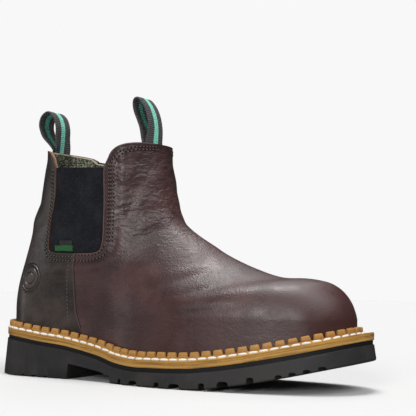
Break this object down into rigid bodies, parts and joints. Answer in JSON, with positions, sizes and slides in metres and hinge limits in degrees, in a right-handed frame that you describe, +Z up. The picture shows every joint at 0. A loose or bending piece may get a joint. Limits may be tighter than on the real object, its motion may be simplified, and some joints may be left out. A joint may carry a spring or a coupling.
{
  "type": "romeo boot",
  "caption": "Ankle-high pull-on boot with elastic side gores, a leather upper, webbing pull loops and a lugged rubber sole with a raised notched welt.",
  "frame": {"origin": "under the middle of the boot's box, on the ground", "axes": "+X to the toe, +Y to the medial side, +Z up"},
  "size_m": [0.306, 0.1136, 0.2162],
  "materials": {
    "sole_rubber": "matte charcoal rubber",
    "midsole_tan": "satin tan layer",
    "welt_tan": "satin golden brown",
    "insole_board": "matte board",
    "brown_leather": "satin dark brown, pebbled",
    "elastic": "matte dark navy twill",
    "green_cloth": "matte green cloth",
    "webbing": "ribbed charcoal webbing with a mint stripe"
  },
  "bodies": {
    "root": {"outsole": "sole_rubber", "midsole": "midsole_tan", "welt": "welt_tan", "insole": "insole_board", "upper": "brown_leather", "gore_lateral": "elastic", "gore_medial": "elastic", "label_tag": "green_cloth", "pull_loop_back": "webbing", "pull_loop_front": "webbing"}
  },
  "joints": []
}
